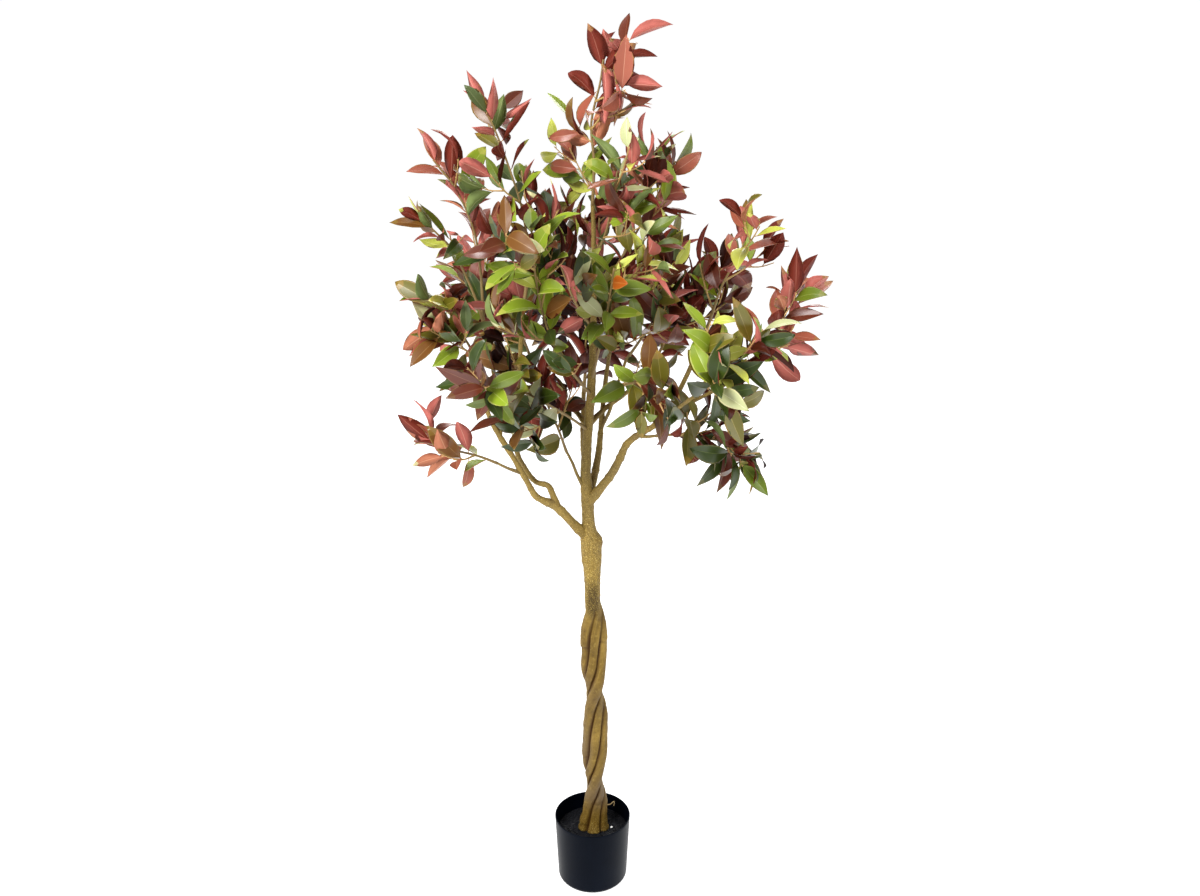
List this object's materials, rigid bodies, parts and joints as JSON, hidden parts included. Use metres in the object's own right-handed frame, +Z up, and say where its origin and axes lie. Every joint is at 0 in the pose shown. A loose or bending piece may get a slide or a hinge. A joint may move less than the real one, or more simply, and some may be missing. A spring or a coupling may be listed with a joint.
{
  "type": "artificial indian laurel fig tree in a pot",
  "caption": "Artificial indian laurel fig tree: braided trunk rising from a filled black pot, forked boughs, and an open crown of green and burgundy leaves.",
  "frame": {"origin": "centre of the pot's flat underside, which stands on the floor", "axes": "+Z up along the trunk, +X to the viewer's right, +Y away from the viewer of the picture"},
  "size_m": [0.8401, 0.7207, 1.8214],
  "materials": {
    "pot_plastic": "satin black moulded plastic with a soft sheen",
    "fill": "dull black granules",
    "bark": "matt olive-brown bark with fine grain and dark grooves",
    "leaf_green": "satin printed leaf cloth, green with burgundy undersides",
    "leaf_red": "satin printed leaf cloth, burgundy with green upper sides"
  },
  "bodies": {
    "root": {"pot": "pot_plastic", "pot_fill": "fill", "trunk": "bark", "bough_left": "bark", "bough_left_inner": "bark", "bough_left_upper": "bark", "bough_left_low": "bark", "bough_thin_left": "bark", "bough_centre": "bark", "bough_centre_right": "bark", "bough_right": "bark", "bough_right_low": "bark", "bough_right_front": "bark", "bough_right_outer": "bark", "bough_back": "bark", "bough_back_right": "bark", "bough_back_left": "bark", "leaves_top": "leaf_red", "leaves_upper_right": "leaf_red", "leaves_upper_left": "leaf_red", "leaves_left_high": "leaf_red", "leaves_left_far": "leaf_red", "leaves_left_mid": "leaf_green", "leaves_low_left": "leaf_red", "leaves_low_centre": "leaf_red", "leaves_front_left": "leaf_green", "leaves_front_low_left": "leaf_green", "leaves_front_centre": "leaf_green", "leaves_front_low_right": "leaf_green", "leaves_centre_left": "leaf_green", "leaves_centre_top": "leaf_red", "leaves_right_high": "leaf_red", "leaves_right_far": "leaf_red", "leaves_right_front": "leaf_green", "leaves_low_right": "leaf_green", "leaves_centre_right": "leaf_green", "leaves_mid_right": "leaf_green", "leaves_back": "leaf_red", "leaves_back_right": "leaf_green", "leaves_back_left": "leaf_red", "leaves_back_high": "leaf_green"}
  },
  "joints": []
}
